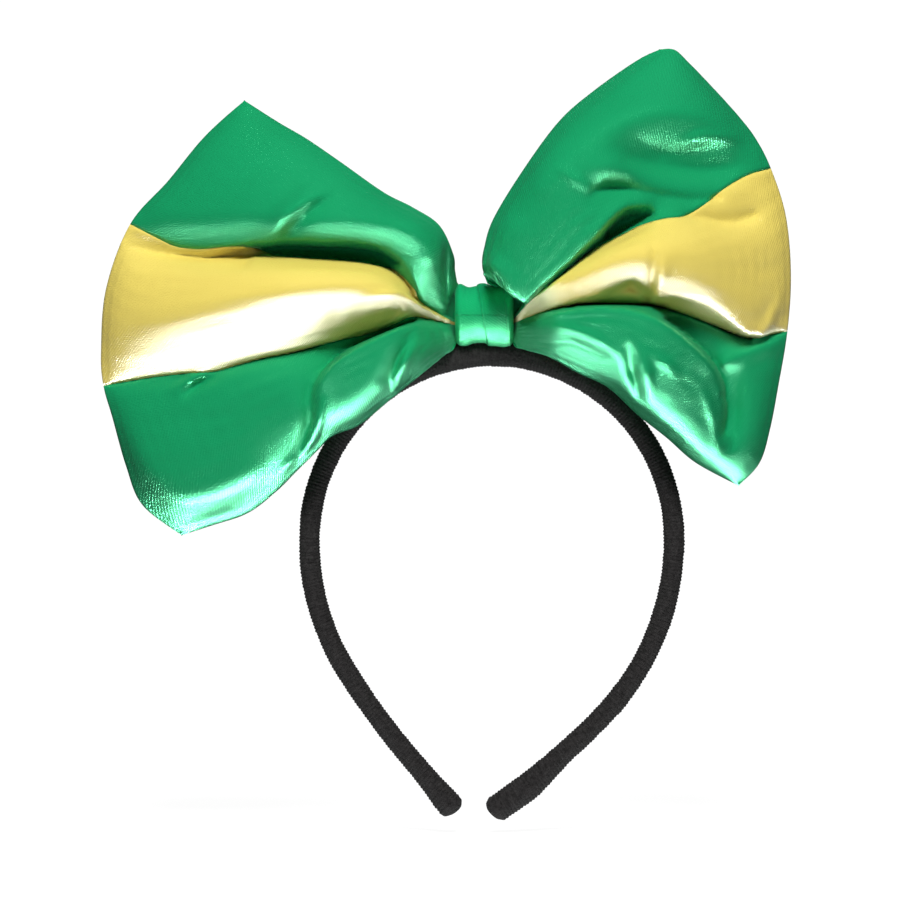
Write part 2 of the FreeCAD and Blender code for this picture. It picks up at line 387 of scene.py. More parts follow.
def band_half(name):
    side, arcs = ARM_ARCS[name]
    places = centre_line(side, arcs, RIB_PITCH / RIB_STEPS)
    body = len(places)
    wobble = rng.normal(0.0, 1.0, (body + TIP_RINGS, SLEEVE_SIDES))
    for _ in range(3):
        for axis in (0, 1):
            wobble = (wobble + np.roll(wobble, 1, axis) + np.roll(wobble, -1, axis)) / 3
    draws = np.arange(0, body + 2 * SWELL_RINGS, SWELL_RINGS)
    swell = np.interp(np.arange(body + TIP_RINGS), draws, rng.normal(0.0, SWELL, len(draws)))
    # rings that close over the core's end
    x, z, a = places[-1]
    for k in range(1, TIP_RINGS + 1):
        reach = TIP_DOME * math.sin(math.pi / 2 * k / TIP_RINGS)
        places.append((x + side * math.cos(a) * reach, z - math.sin(a) * reach, a))

    def sleeve_section(k, t):
        shrink = 1.0
        if k >= body:
            shrink = max(TIP_CLOSED, math.cos(math.pi / 2 * (k - body + 1) / TIP_RINGS))
        rib = RIB_HEIGHT * (math.cos(2 * math.pi * k / RIB_STEPS) - 1.0) * 0.5
        column = round(t / (2 * math.pi) * SLEEVE_SIDES) % SLEEVE_SIDES
        bunch = CROWN_BUNCH * (1 - smoothstep(10.0, 26.0, abs(places[k][0]))) * max(0.0, math.cos(t))
        extra = rib + WOBBLE * wobble[k, column] + swell[k] + bunch
        out = (SLEEVE_THICK / 2 + extra) * math.cos(t) * shrink
        wide = (SLEEVE_WIDE / 2 + extra) * math.sin(t) * shrink
        return out, wide

    def core_section(k, t):
        half = CORE_THICK / 2
        flat = CORE_WIDE / 2 - half
        y = math.sin(t) * half + (flat if math.sin(t) > 0 else -flat)
        if abs(math.sin(t)) < 1e-9:
            y = 0.0
        return half * math.cos(t), y

    sleeve = sweep("sleeve_" + name, side, places, sleeve_section, SLEEVE_SIDES, BLACK_PLUSH)
    core_places = centre_line(side, arcs, CORE_STEP)
    core = sweep("core_" + name, side, core_places, core_section, CORE_SIDES, CORE_PLASTIC)
    return sleeve, core


def build_band():
    for name in ("left", "right"):
        sleeve, core = band_half(name)
        for piece, node, slot in (
            (sleeve, "band_sleeve", "black_sleeve"),
            (core, "band_core", "core_plastic"),
        ):
            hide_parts(f"{node}_crown", f"{node}_{name}_arm")
            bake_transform(piece)
        set_material(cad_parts[f"tip_glue_{name}"], HOT_GLUE)


# ---- bow: the designed shape

# Outlines and seams of each loop, from the knot outwards: (x, z)
LOOPS = {"left": {
    "bottom": [(-11.1, 10.1), (-12.2, 7.4), (-13.2, 5.6), (-15.7, 3.8), (-20.7, -0.4), (-26.4, -5.2),
               (-34.2, -11.6), (-44, -19.6), (-52.8, -23.2), (-58, -28.2), (-65.5, -35.6), (-71.4, -41.4),
               (-81.2, -48.8), (-94, -53.2), (-103.5, -56.3)],
    "lower_seam": [(-11.1, 13.6), (-14, 14.2), (-25.4, 16.3), (-31.3, 14.3), (-40.1, 10.9), (-50.9, 8.4),
                   (-65.5, 4.5), (-75.3, 2.6), (-85.1, 0.1), (-92, -1.8), (-101.7, -2.4), (-114.4, -3.8),
                   (-129.5, -6.3)],
    "upper_seam": [(-11.1, 14.8), (-14, 15.4), (-23.5, 21.2), (-25.6, 25.1), (-31.3, 30.9), (-36.2, 32.9),
                   (-49.9, 34.9), (-59.7, 35.6), (-70, 36.4), (-79.2, 39.2), (-88, 39.3), (-96.8, 38.8),
                   (-104.7, 39.7), (-111.5, 42.7), (-120.6, 47.4)],
    "top": [(-11.1, 24.5), (-11.6, 28), (-12.3, 32), (-12.9, 37.2), (-17.6, 46.6), (-26.4, 52.5),
            (-36.2, 57.6), (-50.9, 68.1), (-61.6, 75.6), (-71.4, 81.5), (-82.5, 88.8)],
    "outer": [(-103.5, -56.3), (-116.6, -46), (-122, -33), (-126.5, -17), (-129.5, -6.3), (-130.3, 5),
              (-128.6, 26), (-120.6, 47.4), (-108, 61.8), (-95.8, 76.6), (-82.5, 88.8)],
    "back_lower": [(-11.1, 13.9), (-28, 4), (-50, -4), (-80, -7.5), (-129.5, -6.3)],
    "back_upper": [(-11.1, 20.7), (-28, 33), (-50, 42.5), (-80, 47.5), (-120.6, 47.4)],
}, "right": {
    "bottom": [(5.8, 10.1), (7, 8.2), (7.9, 6.6), (11.4, 5.4), (18.7, 3), (28.4, -2.4), (38.2, -7.2),
               (48, -16.2), (57.8, -23.8), (67.6, -32), (82.2, -39.8)],
    "lower_seam": [(5.8, 13.6), (9, 15.1), (18.7, 18.4), (30.4, 20.3), (43.1, 20.3), (52.9, 19.9),
                   (62.7, 17.4), (72.4, 14), (82.2, 10.1), (88.1, 9.2), (92, 10.3), (98.4, 11.6)],
    "upper_seam": [(5.8, 14.8), (8, 16.6), (12.3, 21.3), (23.6, 30.6), (33.3, 38.4), (41.2, 42.3),
                   (48, 45.8), (55.8, 48.2), (63.6, 49.4), (70.5, 53.6), (77.3, 59), (85.2, 63.4),
                   (93, 65.8)],
    "top": [(5.8, 24.5), (2, 27), (-2.4, 30.2), (-3.4, 34), (-2.8, 38.8), (0.1, 48.2), (8.9, 62.9),
            (21.6, 80.5), (33.3, 91.2), (48, 101.8), (55.8, 105.7)],
    "outer": [(82.2, -39.8), (89.2, -32), (92.6, -21), (95.4, -6.5), (98.4, 11.6), (99.6, 30.6),
              (97.9, 50.2), (93, 65.8), (88.1, 75.6), (82.2, 83.4), (72.4, 94.2), (65.4, 101.4),
              (60.8, 105.6), (55.8, 105.7)],
    "back_lower": [(5.8, 13.9), (20, 8.5), (42, 5.5), (68, 6.5), (98.4, 11.6)],
    "back_upper": [(5.8, 20.7), (18, 38), (38, 54.5), (62, 63), (93, 65.8)],
}}
CREASE_DEPTH = 1.35
BACK_PLEAT, BACK_PLEATS, BACK_SLANT = 2.2, 5.5, 0.35
OUTER_DEPTH = 2.5  # how far the outer fold lies in front of the back
# Shares of the cloth: creases fade out at its edges, and its front is full a little way from the knot
# and its middle further out
EDGE_FADE, KNOT_FADE, MIDDLE_FADE = 0.04, 0.035, 0.2
HALF_DEPTH = {"left": 16.5, "right": 17.5}
# Between these shares of the way out from the knot, the top strip comes forward
LIP = {"left": (0.01, 0.06), "right": (0.068, 0.098)}
LIP_PUSH = {"left": (0, 0), "right": (-2.3, -3.3)}
LIP_TURN, LIP_SPREAD, LIP_HIGH = 0.018, 0.035, 0.24
LIP_SHIFT = {"left": (0, 0.2), "right": (0.068, 0.098)}

# Lines that hold the front cloth, as (x, z, height). The height is towards the viewer from the
# plane of the loop's edges. Rounded lines are ridges and broad hollows, and sharp ones are creases.
ROUNDED = {"left": [
    # green panel: crest over the seam, and its turn down to the knot
    [(-116, 49, 3.5), (-108, 48.6, 8.6), (-95, 48, 12.7), (-80, 48.2, 15.2), (-70, 48, 16),
     (-58, 46.9, 16.3), (-45, 46, 16.1), (-33, 45.6, 15.4), (-24, 43.6, 14.6), (-22.4, 37, 13.6),
     (-19.5, 27, 11.5), (-13, 17, 7.5)],
    # yellow: rim, and crest
    [(-121, 34.5, 4.5), (-105, 33.4, 8.5), (-88, 32.7, 11.5), (-70, 32.5, 13), (-52, 32, 13.5),
     (-38, 29.8, 13), (-30, 25, 11.5)],
    [(-125, 11, 7), (-112, 13.5, 13.5), (-100, 17, 16.8), (-88, 20.5, 18.3), (-75, 23.5, 19.3),
     (-58, 25, 19.8), (-42, 24.8, 18), (-31, 23.2, 14.8), (-25, 20.2, 11.5), (-14, 14.8, 7.5)],
    [(-112, 4.5, 9.5), (-100, 7, 11.8), (-88, 10, 12.9), (-75, 13, 13), (-60, 15.5, 12.2), (-46, 17, 9.8)],
    # bulge: where its front rolls to the bottom edge
    [(-20, 6, 11), (-28, 1, 14), (-36, -5, 15.3), (-44, -11.5, 15), (-51, -16.5, 12.8)],
    # sunken lower panel: its rolled rim
    [(-121.8, -28, 3), (-117, -38, 4.5), (-105, -50, 4.8), (-94, -48, 5.5), (-82, -43, 6), (-73, -36, 6.5),
     (-67.5, -30, 7)],
    [(-120, -22, 7.5), (-114, -36, 10.5), (-102, -45.5, 12.8), (-88, -43.5, 13.8), (-78, -35.5, 13.5)],
    [(-114, -16, 8), (-98, -18, 9.8), (-82, -15, 9.8), (-70, -12, 8.5)],
], "right": [
    # upper green: dome, hollow between it and the hook, shoulder over the dimple
    [(14, 58, 14), (24, 68, 15.5), (38, 79, 19), (54, 84, 20.6), (68, 83, 17.2), (78, 77, 11)],
    [(44, 68.5, 12.5), (56, 66, 6.2), (68, 64.8, 4), (80, 66, 3.8)],
    [(3, 46, 10.5), (10, 43, 13.5), (18, 46, 15.5), (25, 52, 16)],
    [(29.5, 57, 14.4), (31, 60.5, 16.2), (35.5, 63.4, 18.4), (42, 63.8, 18.2), (50, 61.8, 14.6),
     (60, 59.8, 12.2), (70, 58.4, 9.8), (78, 60.2, 7)],
    # yellow: both sides of its small fold, crest
    [(68, 53.2, 9.5), (76, 53.5, 9.5), (85, 55.5, 6.5)],
    [(54, 45.5, 11.5), (66, 45.8, 13), (76, 44.3, 12.5), (87, 45.5, 8.5)],
    [(14, 20.2, 9.6), (22, 24.6, 13), (31, 28.2, 16), (40, 31, 17.8), (48, 32.5, 18.5), (56, 29, 18.2),
     (64, 28.2, 18), (71, 26, 17), (78, 21.6, 15.2), (84, 17.6, 13), (89, 16.8, 10.2)],
    [(10, 18.6, 8), (18, 25, 12), (28, 31.3, 15), (38, 36.5, 17.5), (50, 38, 19), (62, 38, 18.5),
     (74, 36, 16), (86, 33, 11), (94, 32, 5.5)],
    # lower green: the front of the bulge, and the panel beyond it
    [(14, 8.8, 5.5), (22, 6.2, 7.5), (32, 2, 9), (42, -5, 11.5), (52, -14, 13), (61, -21.6, 12),
     (70, -29.2, 9.5), (80, -36, 5.6)],
    [(14, 11.6, 9.8), (23, 11.2, 13.6), (33, 8.6, 16), (42, 2.8, 17), (50, -5, 16.6), (58, -13, 15.4),
     (66, -21.5, 12.8), (75, -30, 8.8)],
    [(85.5, 1, 6.5), (87, -10, 7.5), (86, -22, 7.5), (83.5, -31, 6.5)],
]}
SHARP = {"left": [
    # brow of the green panel, the lip of yellow beyond it, and the deep crease under both
    [(-119, 43.5, 1.4), (-110, 40.8, 3), (-100, 39, 5), (-90, 39, 6.6), (-82, 40.4, 8.2), (-72, 41.2, 9.6),
     (-58, 41.2, 10.6), (-46, 40.8, 10.6), (-36, 39.2, 10.2), (-30, 35.6, 10), (-26.2, 30, 9.5),
     (-22.6, 22.6, 9)],
    [(-92, 37.8, 4), (-82, 38.8, -1), (-72, 39.4, -5), (-58, 39.3, -6.5), (-46, 38.8, -6), (-37, 37.2, -4),
     (-32, 34.2, 1)],
    [(-124, 41.2, 1), (-113, 38.4, 1.5), (-100, 36.4, 1.5), (-88, 36, 0), (-76, 36.6, -3), (-64, 36.5, -5),
     (-50, 35.7, -5), (-40, 34.2, -3.5), (-33, 31.5, -1), (-28, 26.6, 2), (-24.6, 21.2, 4), (-13, 15.2, 5.5)],
    [(-127, -6, 1), (-112, -4, 3), (-95, -2.2, 3.5), (-80, 1.4, 3), (-65, 4.6, 1), (-50, 8.5, -3),
     (-38, 11.6, -3), (-31, 14.4, 2), (-25, 16.2, 5.5), (-13, 14.2, 6.5)],
    # dark hollow beside the bulge, and the bulge's edge
    [(-26, 15, 3), (-33, 12.2, -2), (-41, 9, -4), (-48, 5.8, -4), (-54.2, 1.2, 0), (-58.6, -4.5, 5),
     (-61.2, -11, 7.5)],
    [(-13.5, 11.5, 7), (-22, 13.4, 10.5), (-30, 12, 13), (-38, 8.6, 14.5), (-46, 4.4, 15),
     (-52.6, -0.6, 14), (-56.8, -6.5, 12), (-58.8, -13, 9.5)],
], "right": [
    # dark line under the hook
    [(34, 57.4, 11.4), (41, 58.8, 8.4), (50, 57.4, 9.5), (58, 56, 8.5), (67, 55, 7.2), (75, 55.6, 6)],
    # shoulder over the dimple, and the dimple running along the seam
    [(13.5, 24.3, 12.5), (22.3, 32, 14.5), (31, 40.2, 15.5), (36, 45.2, 15), (40.5, 49.8, 13),
     (46, 52.6, 10), (53, 52.8, 8)],
    [(14.5, 23.4, 9.5), (24, 31.2, 8.5), (31, 37, 5), (36.5, 41.6, -4), (42, 45.8, -8), (47, 48.9, -7),
     (51.5, 50.4, -1)],
    [(38, 44.2, -6), (42.5, 48.2, -7), (46, 50.3, -4)],
    [(64, 49.6, 8.5), (72, 48.6, 7.5), (80, 47.8, 6.5), (87, 50, 4.5)],
    # lip beside the knot
    [(-0.6, 34, 9.5), (4, 30.9, 12.5), (9, 27.5, 13.5), (13.6, 24.6, 12.5)],
    # lip of yellow, and the seam behind it
    [(18.7, 19.2, 9.5), (28.4, 21.6, 11.5), (33.3, 23.1, 12.5), (38.2, 25, 13), (43, 26.4, 13),
     (46, 26.8, 12.5), (49.5, 25, 12.5), (51.9, 22.7, 12.5), (56, 22.9, 13.5), (61.7, 22.9, 14),
     (66, 22.3, 14), (70.5, 21.1, 13.5), (77.3, 16.6, 12.5), (83.2, 11.8, 11), (88.1, 10.4, 9),
     (92, 13.5, 6.5), (95.5, 20, 4.5)],
    [(9, 15.6, 7), (22, 19.2, 6), (33, 20.3, 3.5), (44, 20.4, 1), (54, 19.7, 0), (64, 17, 0), (74, 13.4, 0),
     (83, 9.9, 1), (89, 9, 3), (97, 11.4, 1)],
    # bulge: its edge, and the hollow outside it
    [(10, 13.5, 8.5), (22, 17, 12.5), (33, 18.7, 15), (44, 18, 17), (54, 14.4, 18), (63, 8.2, 18),
     (70.2, 1.6, 17), (74.4, -5.4, 14.5), (75.6, -14, 12), (75.2, -22, 9.5)],
    [(57, 15.6, 0), (66, 9.2, 0), (73.2, 2.2, 1), (77, -5, 3), (78, -14, 4), (77.6, -22, 5)],
    [(76.5, 0.6, 5.5), (84, 4, 7), (92, 7.8, 5.5), (97, 10.3, 1.5)],
]}

# Small creases and wrinkles: path (x, z, height) and width on each side of it, left of the way it runs first
CREASES = {"left": [
    ([(-71, 45, 1.4), (-67, 49.6, 2.2), (-61, 54.2, 1.8), (-53, 59, 0.2)], 3.8, 2.2),
    ([(-67.5, 43.5, -1.4), (-63, 48.2, -1.8), (-57.5, 52.2, -1.2), (-50, 56, 0)], 2.2, 2.8),
    ([(-15, 40, -0.6), (-15.6, 31, -2.2), (-15, 23.5, -2), (-13, 17.5, -0.6)], 1.3, 1.3),
    ([(-42, 22.3, 0.6), (-31, 23.8, 1.6), (-25, 20.9, 1.2), (-15, 15.3, 0.6)], 1.2, 1.6),
    ([(-30.4, 22.4, -0.4), (-31.4, 18.5, -1.5), (-35.5, 13.6, -0.8)], 1.5, 1.5),
    ([(-28.8, 22.2, -0.4), (-27.4, 19, -1.2), (-25, 16.8, -0.5)], 1.2, 1.2),
    ([(-84, 36.5, -0.6), (-82, 33.6, -1.6), (-79.5, 36.4, -0.6)], 1.2, 1.2),
    ([(-27.5, 8.5, -0.8), (-31, 2, -2.6), (-33.8, -4, -2.4), (-33.6, -9, -1)], 1.3, 2.6),
    ([(-25.6, 7, 0.6), (-29, 0.5, 1.6), (-31.5, -7, 0.8)], 1.6, 1.6),
    ([(-55.6, -12, 0.8), (-56.8, -18, 2.4), (-61, -28, 1.6)], 1.3, 2.2),
    ([(-60, -8, -1), (-60.5, -19, -2.6), (-64.5, -29, -1.6)], 2, 2.2),
    ([(-65, -29, 0.8), (-67, -33, 1.6), (-71, -40, 0.8)], 1.4, 2),
    ([(-101.5, -8.6, -0.9), (-97, -5.4, -2.6), (-92.2, -3.4, -0.6)], 1.6, 1.4),
    ([(-104, -8, 0.6), (-99, -4, 2.2), (-93.5, -1.8, 0.6)], 1.8, 1.8),
], "right": [
    ([(21, 65, 0.2), (26.5, 61, 0.8), (31, 58, 0.6)], 1.4, 1.4),
    ([(58, 71.5, 0.2), (68, 75.5, 1.3), (80, 76, 0.5)], 1.8, 2.4),
    ([(47, 74.5, -0.2), (56, 71, -1.1), (68, 71.5, -0.8), (77, 73, -0.2)], 2.2, 2.6),
    ([(52.3, 41, -0.4), (53.2, 35, -1.2), (52.6, 28, -1.8), (51.8, 22.6, -2.6)], 1.2, 1.6),
    ([(56.5, 36, 0.3), (55.5, 29, 1), (53.5, 24, 0.6)], 1.6, 2.4),
    ([(37, 23, -0.8), (45.5, 26.3, -2.6), (51, 23, -2.2)], 1.2, 1.8),
    ([(96, 23, 0.3), (92.6, 15, 1.2), (89.5, 10.6, 0.6)], 1.4, 1.8),
    ([(44.3, 5, -0.8), (45.6, -2, -3), (48.2, -10, -1.4)], 1.9, 1.3),
    ([(49, 4, 0.4), (50.5, -3, 1.6), (51.5, -10, 0.6)], 1.6, 2.6),
    ([(12, 12.5, 0.5), (24, 12, 1), (34, 8, 0.9), (41, 3.5, 0.4)], 1.8, 2.6),
    ([(16, 7, -0.4), (26, 8, -1.2), (36, 3.5, -0.8)], 1.6, 1.6),
    ([(52, 3, 0.2), (57, 0.5, 0.9), (60, -3, 0.4)], 1.8, 2),
    ([(70, -10, 0.4), (73, -17, 1), (75, -27, 0.6)], 1.6, 1.6),
    ([(81.5, -2, -0.4), (81, -14, -1.2), (80, -26, -0.6)], 2, 2.4),
]}


def smooth_line(points, shares):
    """Points on a smooth line through the given ones, at shares of its length."""
    p = np.array(points, float)
    q = np.vstack([2 * p[0] - p[1], p, 2 * p[-1] - p[-2]])
    t = (np.arange(SPAN_STEPS) / SPAN_STEPS)[:, None]
    spans = []
    for a, b, c, d in zip(q, q[1:], q[2:], q[3:]):
        spans.append(
            (2 * t**3 - 3 * t**2 + 1) * b + (t**3 - 2 * t**2 + t) * (c - a) / 2
            + (-2 * t**3 + 3 * t**2) * c + (t**3 - t**2) * (d - b) / 2
        )
    fine = np.vstack([*spans, p[-1:]])
    run = np.concatenate([[0.0], np.cumsum(np.linalg.norm(np.diff(fine, axis=0), axis=1))])
    at = np.asarray(shares) * run[-1]
    return np.stack([np.interp(at, run, column) for column in fine.T], axis=-1)


def smoothstep(low, high, x):
    t = np.clip((x - low) / (high - low), 0.0, 1.0)
    return t * t * (3 - 2 * t)


def column_shares():
    """Shares from the knot to the outer fold: closer together at both ends."""
    t = np.linspace(0.0, 1.0, COLUMNS + 1)
    return t - 0.62 / (2 * math.pi) * np.sin(2 * math.pi * t)


def row_shares():
    """Shares from the bottom edge to the top: closer together at both edges, a third for each strip."""
    t = np.linspace(0.0, 1.0, STRIPE_ROWS + 1)
    low = t**1.25 / 3
    return np.concatenate([low, (1 + t[1:]) / 3, 1 - low[::-1][1:]])


def nearest(points, place):
    return int(np.argmin(np.hypot(*(points - np.array(place)).T)))


def outline_grid(loop, lower="lower_seam", upper="upper_seam"):
    """x and z of each grid point of the front, or of the back with the back's seams."""
    u, v = column_shares(), row_shares()
    curves = [smooth_line(loop[key], u) for key in ("bottom", lower, upper, "top")]
    fold = smooth_line(loop["outer"], np.linspace(0, 1, FOLD_STEPS))
    corners = [nearest(fold, loop[key][-1]) for key in ("bottom", "lower_seam", "upper_seam", "top")]
    grid = np.zeros((COLUMNS + 1, ROWS + 1, 2))
    outer = np.zeros((ROWS + 1, 2))
    for k in range(3):
        rows = slice(k * STRIPE_ROWS, (k + 1) * STRIPE_ROWS + 1)
        share = v[rows] * 3 - k
        at = corners[k] + share * (corners[k + 1] - corners[k])
        outer[rows] = np.stack([np.interp(at, np.arange(FOLD_STEPS), column) for column in fold.T], axis=-1)
        share = share[:, None]
        grid[:, rows] = curves[k][:, None] * (1 - share) + curves[k + 1][:, None] * share
    # the outermost columns bend to the outer fold
    grid += (u**5)[:, None, None] * (outer - grid[-1])[None]
    return u, v, grid


def fold_height(grid, path, left, right):
    """Height of one crease at each grid point."""
    p = np.array(path, float)
    best = np.full(grid.shape[:2], np.inf)
    height, wide = np.zeros(best.shape), np.ones(best.shape)
    for a, b in zip(p, p[1:]):
        ab = b[:2] - a[:2]
        rel = grid - a[:2]
        t = np.clip((rel @ ab) / (ab @ ab), 0.0, 1.0)
        away = np.linalg.norm(rel - t[..., None] * ab, axis=-1)
        side = ab[0] * rel[..., 1] - ab[1] * rel[..., 0]
        closer = away < best
        best = np.where(closer, away, best)
        height = np.where(closer, a[2] + t * (b[2] - a[2]), height)
        wide = np.where(closer, np.where(side > 0, left, right), wide)
    return height * np.exp(-((best / wide) ** 2))


def inside_outline(x, z, outline):
    """Which of the points lie inside a closed outline."""
    inside = np.zeros(x.shape, bool)
    for (x0, z0), (x1, z1) in zip(outline, np.roll(outline, -1, axis=0)):
        if z0 == z1:
            continue
        crosses = (z0 > z) != (z1 > z)
        inside ^= crosses & (x < (x1 - x0) * (z - z0) / (z1 - z0) + x0)
    return inside


def membrane(name, grid):
    """Front height at each grid point: a skin blown out between the lines that hold it."""
    outline = np.concatenate([grid[:, 0], grid[-1, 1:], grid[-2::-1, -1]])
    low = outline.min(axis=0) - SKIN_MARGIN
    size = np.ceil((outline.max(axis=0) + SKIN_MARGIN - low) / CELL).astype(int)
    x, z = np.meshgrid(*(low[c] + CELL * np.arange(size[c]) for c in (0, 1)), indexing="ij")
    inside = inside_outline(x, z, outline)
    free = inside.copy()
    field = np.zeros(x.shape)
    keep = np.zeros(x.shape)
    neck = [(grid[0, 0, 0], end, NECK_HEIGHT) for end in NECK_SPAN]
    for sharp, lines in ((0.0, ROUNDED[name] + [neck]), (1.0, SHARP[name])):
        for line in lines:
            # close enough points to leave no cell out
            points = smooth_line(line, np.linspace(0, 1, 4 * int(np.ptp(line, axis=0).max()) + 8))
            i, j = np.rint((points[:, :2] - low) / CELL).astype(int).T
            field[i, j] = np.sign(points[:, 2]) * np.abs(points[:, 2]) ** (1 / EDGE_POWER)
            free[i, j] = False
            if sharp:
                keep[i, j] = 1.0
    checker = (np.add.outer(np.arange(size[0]), np.arange(size[1])) % 2)[1:-1, 1:-1]
    turns = [free[1:-1, 1:-1] & (checker == colour) for colour in (0, 1)]
    middle = field[1:-1, 1:-1]
    for _ in range(MEMBRANE_STEPS):
        for turn in turns:
            mean = (field[2:, 1:-1] + field[:-2, 1:-1] + field[1:-1, 2:] + field[1:-1, :-2]) / 4
            middle += np.where(turn, OVER_RELAX * (mean + PRESSURE * CELL**2 - middle), 0.0)
    height = np.sign(field) * np.abs(field) ** EDGE_POWER
    # round off everything but the creases
    for _ in range(2):
        keep = blur(keep, 1)
    keep = np.clip(keep * 4, 0, 1)
    soft = height.copy()
    for _ in range(ROUND_STEPS):
        soft = blur(soft, 1)
        soft[~inside] = 0.0
        soft = soft * (1 - keep) + height * keep
    spot = (grid - low) / CELL
    cell = np.clip(np.floor(spot).astype(int), 0, size - 2)
    i, j = np.moveaxis(cell, -1, 0)
    a, b = np.moveaxis(spot - cell, -1, 0)
    return (soft[i, j] * (1 - a) * (1 - b) + soft[i + 1, j] * a * (1 - b)
            + soft[i, j + 1] * (1 - a) * b + soft[i + 1, j + 1] * a * b)


def design_loop(name):
    """Front and back layers of one loop before the cloth is relaxed, as two grids of points."""
    u, v, grid = outline_grid(LOOPS[name])
    depth = HALF_DEPTH[name]
    outward = (depth - OUTER_DEPTH) * smoothstep(0.45, 1.0, u)
    front = np.zeros((COLUMNS + 1, ROWS + 1, 3))
    front[..., [0, 2]] = grid
    back = front.copy()
    back[..., [0, 2]] = outline_grid(LOOPS[name], "back_lower", "back_upper")[2]

    # the back: full near the knot and flatter outwards, with soft pleats
    across = (1 - np.abs(2 * v - 1) ** 2.4) ** 0.62
    puff = NECK_DEEP + (depth - NECK_DEEP) * smoothstep(0.0, 0.5, u)
    puff = puff * np.sqrt(1 - u**7)
    middle = KNOT_Y + (LOOP_BACK - depth - KNOT_Y) * smoothstep(0.0, MIDDLE_FADE, u) + outward
    # only the cloth next to the knot may go further back than LOOP_BACK
    puff = np.minimum(puff, LOOP_BACK - middle + 20 * (u < 0.08))
    back[..., 1] = middle[:, None] + puff[:, None] * across[None]
    pleats = 0.5 + 0.5 * np.sin(2 * math.pi * (BACK_PLEATS * v[None] + BACK_SLANT * u[:, None]) + depth)
    spread = smoothstep(0.04, 0.2, u) * (1 - smoothstep(0.25, 0.85, u))
    back[..., 1] -= BACK_PLEAT * pleats * spread[:, None] * across[None]

    # the front: the skin and its creases, which fade out at the edges
    height = membrane(name, grid)
    edge = smoothstep(0.0, EDGE_FADE, v)[None] * smoothstep(0.0, EDGE_FADE, 1 - v)[None]
    edge = edge * smoothstep(0.0, EDGE_FADE, 1 - u)[:, None]
    for path, left, right in CREASES[name]:
        height += CREASE_DEPTH * fold_height(grid, path, left, right) * edge
    upper = smoothstep(2 / 3, 0.70, v)[None]
    fade, shift = (
        smoothstep(0.0, whole, u)[:, None] * (1 - upper) + smoothstep(first, last, u)[:, None] * upper
        for whole, (first, last) in ((KNOT_FADE, LIP[name]), (MIDDLE_FADE, LIP_SHIFT[name]))
    )
    plane = KNOT_Y + (LOOP_BACK - depth - KNOT_Y) * shift + outward[:, None]
    front[..., 1] = plane - height * fade

    # the lip beside the knot hangs over
    turned = LIP[name][1] + LIP_TURN
    over = smoothstep(LIP[name][1] - LIP_TURN / 2, turned, u)
    over = over * np.exp(-((np.maximum(u - turned, 0.0) / LIP_SPREAD) ** 2))
    over = over[:, None] * upper * smoothstep(0.0, LIP_HIGH, 1 - v)[None]
    front[..., [0, 2]] += over[..., None] * LIP_PUSH[name]
    return front, back


def neck_ring():
    """The gathered cloth where it goes into the knot: y and z of its rows, at the front and the back."""
    v = row_shares()
    rows = []
    for way, lower, upper in NECK_SEAMS:
        t = np.interp(v, (0.0, 1 / 3, 2 / 3, 1.0), np.radians((-90.0, lower, upper, 90.0)))
        pleats = 1 + NECK_RIPPLE * np.sin(NECK_PLEATS * t)
        rows.append((KNOT_Y + way * NECK_DEEP * np.cos(t) * pleats, KNOT_Z + NECK_HIGH * np.sin(t)))
    return rows


